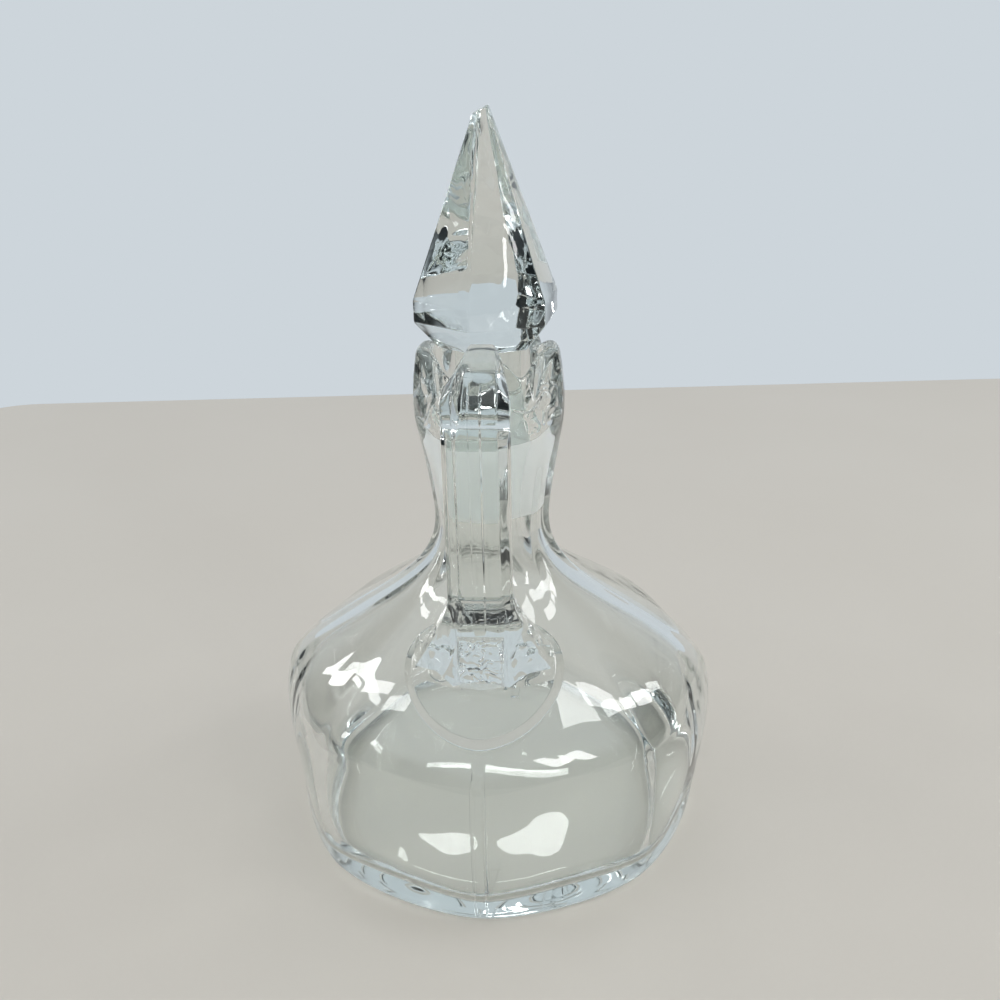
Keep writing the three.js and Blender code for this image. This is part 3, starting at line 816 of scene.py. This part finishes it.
def make_bottle_glass():
    """Clear, faintly green glass, whose light and dark edges come from its shape and relief alone."""
    material, tree = new_tree("soda_lime_glass_bottle")
    place, parts, reach = position(tree)
    side = add(tree, "ShaderNodeMath", {"operation": "ABSOLUTE"}, i0=parts["X"]).outputs["Value"]
    mirrored = add(tree, "ShaderNodeCombineXYZ", X=side, Y=parts["Y"], Z=parts["Z"])
    level = math.cos(LEAF_TILT)
    lean = (level * math.sin(LEAF_AZIMUTH), -level * math.cos(LEAF_AZIMUTH), math.sin(LEAF_TILT))
    depth = add(tree, "ShaderNodeVectorMath", {"operation": "DOT_PRODUCT"}, i0=mirrored.outputs["Vector"], i1=lean)
    on_cut = between(tree, depth.outputs["Value"], LEAF_DISTANCE - 0.35, LEAF_DISTANCE + 1, 0.3)
    leaf = both(tree, on_cut, between(tree, parts["Z"], *LEAF_HEIGHTS, 1.5))
    leaf = both(tree, leaf, between(tree, side, *LEAF_SIDE, 0.6))
    patch = both(tree, between(tree, side, *PATCH_SIDE, 0.6), between(tree, parts["Y"], *PATCH_FRONT, 0.6))
    patch = both(tree, patch, between(tree, parts["Z"], *PATCH_HEIGHTS, 1.0))
    wings = both(tree, between(tree, side, *WING_SIDE, 1.5), between(tree, parts["Y"], *WING_FRONT, 0.6))
    wings = both(tree, wings, between(tree, parts["Z"], *WING_HEIGHTS, 2))
    bore = both(tree, between(tree, reach, *BORE_REACH, 0.3), between(tree, parts["Z"], *BORE_HEIGHTS, 0.3))
    coarse, fine = 1 / (LEAF_GRAIN * MM), 1 / (PATCH_GRAIN * MM)
    grain = add(tree, "ShaderNodeMapRange", Value=patch, To_Min=coarse, To_Max=fine)
    crumple = chill_marks(tree, place, grain.outputs["Result"])
    crumple = both(tree, crumple, total(tree, both(tree, leaf, LEAF_CRUMPLES), both(tree, patch, PATCH_CRUMPLES)))
    folds = chill_marks(tree, drawn_out(tree, place, 0.3), 1 / (FOLD_GRAIN * MM))
    folds = both(tree, folds, both(tree, wings, WING_FOLDS))
    seam = both(tree, mould_seam(tree, parts, side, reach), SEAM_RIDGE)
    over_floor = add(
        tree, "ShaderNodeMapRange", Value=parts["Z"], From_Min=5 * MM, From_Max=9 * MM, To_Max=WAVE_HEIGHT)
    waves = mould_waves(tree, place, WAVE_LENGTH, over_floor.outputs["Result"])
    normal = bent_normal(tree, waves, crumple, folds, seam)
    finish_glass(tree, "#fafcfb", normal, bore)
    return material


# %% [markdown]
# The stopper was pressed, so its facets have a fine crumpled skin, drawn out along the facets. Its plug is ground to
# the same rough white as the bore. Both glasses go on their pieces here.

# %% Glass of the stopper
def make_stopper_glass():
    """The same glass as the bottle's, with the livelier skin of a pressed piece."""
    material, tree = new_tree("soda_lime_glass_stopper")
    place, parts, _ = position(tree)
    pressed = between(tree, parts["Z"], GIRDLE_HEIGHT - 4, TIP_CUT_HEIGHT, 2)
    plug = between(tree, parts["Z"], PLUG_BOTTOM_HEIGHT + 0.5, PLUG_BOTTOM_HEIGHT + PLUG_LENGTH, 0.3)
    crumple = both(tree, chill_marks(tree, drawn_out(tree, place, 0.5), 1 / (9 * MM)), both(tree, pressed, 0.09))
    normal = bent_normal(tree, mould_waves(tree, place, 14, 0.25), crumple)
    finish_glass(tree, "#f9fcfb", normal, plug)
    return material


for piece, material in ((bottle, make_bottle_glass()), (stopper, make_stopper_glass())):
    piece.data.materials.clear()
    piece.data.materials.append(material)
    print(piece.name, "is made of", material.name)

# %% [markdown]
# ## Table and light
# A plain pale table top with a straight far edge, whose left corner is just in the picture. It could be one endless
# sheet, but the edge behind the neck is part of how clear glass is read: it is bent where the glass is thick. The
# top is a scaled grid that is extruded once, with bevelled corners and a faint cloudiness in its pale grey.

# %% Table top
TABLE_FAR_EDGE = 0.372
TABLE_NEAR_EDGE = -0.7
TABLE_LEFT_EDGE = -0.32
TABLE_RIGHT_EDGE = 0.8
TABLE_THICKNESS = 0.02
TABLE_CORNER_RADIUS = 0.045
TABLE_EDGE_RADIUS = 0.003
TABLE_TURN = math.radians(5.5)
CONTACT_GAP = 0.0002


def make_table():
    """A slab whose upper side lies a hair below the bottle's foot."""
    bm = bmesh.new()
    bmesh.ops.create_grid(bm, x_segments=1, y_segments=1, size=0.5)
    width, depth = TABLE_RIGHT_EDGE - TABLE_LEFT_EDGE, TABLE_FAR_EDGE - TABLE_NEAR_EDGE
    middle = (TABLE_RIGHT_EDGE - width / 2, TABLE_FAR_EDGE - depth / 2)
    bmesh.ops.scale(bm, vec=(width, depth, 1), verts=bm.verts)
    bmesh.ops.translate(bm, verts=bm.verts, vec=(*middle, -TABLE_THICKNESS - CONTACT_GAP))
    top = bmesh.ops.extrude_face_region(bm, geom=bm.faces[:])["geom"]
    bmesh.ops.translate(bm, verts=[g for g in top if isinstance(g, bmesh.types.BMVert)], vec=(0, 0, TABLE_THICKNESS))
    bmesh.ops.recalc_face_normals(bm, faces=bm.faces)
    posts = [e for e in bm.edges if abs(e.verts[0].co.z - e.verts[1].co.z) > 0.01]
    round_edges(bm, posts, TABLE_CORNER_RADIUS, 12)
    rims = [e for e in bm.edges if min(v.co.z for v in e.verts) > -0.001 and e.calc_face_angle(0) > 1]
    round_edges(bm, rims, TABLE_EDGE_RADIUS, 4)
    bmesh.ops.rotate(bm, verts=bm.verts, cent=(0, 0, 0), matrix=Matrix.Rotation(TABLE_TURN, 3, "Z"))
    mesh = bpy.data.meshes.new("table_top")
    bm.to_mesh(mesh)
    bm.free()
    mesh.shade_smooth()
    mesh.set_sharp_from_angle(angle=math.radians(35))
    material, tree = new_tree("pale_table")
    place = add(tree, "ShaderNodeTexCoord").outputs["Object"]
    cloud = add(tree, "ShaderNodeTexNoise", Vector=place, Scale=9.0, Detail=4.0)
    tone = mixed(tree, cloud.outputs["Fac"], linear("#c8c3ba"), linear("#cdc9c1"))
    pale = add(tree, "ShaderNodeBsdfPrincipled", Base_Color=tone, Roughness=0.55)
    add(tree, "ShaderNodeOutputMaterial", Surface=pale.outputs["BSDF"])
    mesh.materials.append(material)
    top = stand("table_top", mesh)
    return top


table = make_table()
print("table top:", len(table.data.polygons), "faces")

# %% [markdown]
# The world has three faces. The camera sees a pale wall all round. Rays through the glass or off it see a pale wall
# ahead, a pale ceiling and dark sides, which stand for the dark cards beside a studio table: without them, clear
# glass would have no outline. Rays that have left a matt surface only meet an even soft light, so that the table
# keeps its colour under the glass too.

# %% The room
WALL_STARTS, WALL_FULL = 0.5, 0.78
CEILING_STARTS, CEILING_FULL = 0.4, 0.65

world = bpy.data.worlds.new("soft_room")
bpy.context.scene.world = world
world.use_nodes = True
tree = world.node_tree
tree.nodes.clear()
direction = add(tree, "ShaderNodeTexCoord").outputs["Generated"]
axes = add(tree, "ShaderNodeSeparateXYZ", Vector=direction).outputs
path = add(tree, "ShaderNodeLightPath").outputs
ahead = eased(tree, axes["Y"], WALL_STARTS, WALL_FULL)
pale = add(tree, "ShaderNodeMath", {"operation": "MAXIMUM"}, i0=ahead, i1=path["Is Camera Ray"]).outputs["Value"]
walls = mixed(tree, pale, linear("#1d2123"), linear("#cdd5db"))
above = eased(tree, axes["Z"], CEILING_STARTS, CEILING_FULL)
room = mixed(tree, above, walls, linear("#cfd8de"))
matt = add(tree, "ShaderNodeMath", {"operation": "GREATER_THAN"}, i0=path["Diffuse Depth"], i1=0.5).outputs["Value"]
light = add(tree, "ShaderNodeBackground", Color=mixed(tree, matt, room, linear("#e4e5e6")), Strength=1.0)
add(tree, "ShaderNodeOutputWorld", Surface=light.outputs["Background"])

# %% [markdown]
# Clear glass has no highlights without something bright to mirror. Narrow windows on the left and on the right give
# the shoulder its bright patches, and small panes give the streak on the stopper and the broken bright curve on the
# bottle's floor. A big softbox would whiten the whole body, so each window is a strip laid between two directions.
# The directions were measured from the patches, by reflecting the camera's view in the glass, and then adjusted.
# Each plan gives the spot in millimetres, the directions of the strip's two ends, its width in metres and its glow.

# %% Strip windows
WINDOW_DISTANCE = 1.0


def strip_window(name, spot, first, last, width, glow):
    """A long lamp between two directions seen from a spot, with a radiance in place of a power."""
    spot, first, last = Vector(spot) * MM, Vector(first).normalized(), Vector(last).normalized()
    lamp = bpy.data.lights.new(name, "AREA")
    span = WINDOW_DISTANCE * (last - first)
    lamp.shape, lamp.size, lamp.size_y = "RECTANGLE", span.length, width
    lamp.energy = glow * math.pi * span.length * width
    back = ((first + last) / 2).normalized()
    along = span.normalized()
    side = back.cross(along)
    turn = Matrix((along, side, back)).transposed().to_4x4()
    holder = stand(name, lamp)
    holder.matrix_world = Matrix.Translation(spot + WINDOW_DISTANCE * (first + last) / 2) @ turn
    return holder


WINDOWS = {
    "left_high": ((-36, -20, 52), (-0.54, -0.115, 0.83), (-0.69, 0.03, 0.73), 0.045, 10),
    "left_middle": ((-40, -20, 50), (-0.71, 0.07, 0.70), (-0.79, 0.40, 0.46), 0.018, 10),
    "left_low": ((-44, -20, 48), (-0.79, 0.44, 0.42), (-0.80, 0.57, 0.25), 0.05, 10),
    "right_high": ((34, -22, 52), (0.42, -0.165, 0.89), (0.61, -0.02, 0.79), 0.08, 9),
    "right_middle": ((38, -22, 50), (0.65, 0.04, 0.76), (0.76, 0.34, 0.54), 0.06, 9),
    "right_low": ((40, -22, 50), (0.76, 0.38, 0.52), (0.79, 0.50, 0.38), 0.08, 9),
    "handle_left": ((-11, -12, 112), (-0.84, -0.37, 0.38), (-0.80, -0.33, 0.50), 0.05, 12),
    "streak": ((5, -12, 150), (0.545, -0.56, 0.625), (0.635, -0.675, 0.375), 0.04, 12),
    "curve": ((0, -24, 3), (0.01, 0.785, 0.620), (-0.13, 0.772, 0.620), 0.021, 8),
}
for name, plan in WINDOWS.items():
    window = strip_window(name, *plan)
    print(name, "stands at", [round(c, 2) for c in window.location])

# %% [markdown]
# ## Camera
# The camera stands a little to the right of the handle's plane, 0.18 m above the table, and looks 23 degrees down.
# It leans by about a degree, as a hand-held one does. A 36 mm lens on a 36 mm sensor gives its angle of view. A ray
# through two walls and a handle of glass crosses many faces, so the limits on bounces are raised.

# %% Camera
CAMERA_AZIMUTH = math.radians(5)
CAMERA_DISTANCE = 230.9
CAMERA_HEIGHT = 184.8
CAMERA_PITCH = math.radians(23.3)
CAMERA_ROLL = math.radians(-1.21)
CAMERA_YAW = math.radians(0.53)
LIGHT_BOUNCES = 26

camera_data = bpy.data.cameras.new("camera")
camera_data.lens, camera_data.sensor_width = 36, 36
camera_data.clip_start, camera_data.clip_end = 0.01, 20
camera = stand("camera", camera_data)
heading = CAMERA_YAW - CAMERA_AZIMUTH
level_ahead = Vector((math.sin(heading), math.cos(heading), 0))
forward = level_ahead * math.cos(CAMERA_PITCH) - Vector((0, 0, math.sin(CAMERA_PITCH)))
level_right = Vector((math.cos(heading), -math.sin(heading), 0))
level_up = level_right.cross(forward)
right = level_right * math.cos(CAMERA_ROLL) + level_up * math.sin(CAMERA_ROLL)
up = right.cross(forward)
turn = Matrix((right, up, -forward)).transposed().to_4x4()
away = Vector((math.sin(CAMERA_AZIMUTH), -math.cos(CAMERA_AZIMUTH), 0))
spot = away * CAMERA_DISTANCE + Vector((0, 0, CAMERA_HEIGHT))
camera.matrix_world = Matrix.Translation(spot * MM) @ turn

scene = bpy.context.scene
scene.camera = camera
scene.view_settings.view_transform = "Standard"
scene.cycles.max_bounces = LIGHT_BOUNCES
scene.cycles.transmission_bounces = LIGHT_BOUNCES
scene.cycles.glossy_bounces = LIGHT_BOUNCES
scene.cycles.blur_glossy = 0
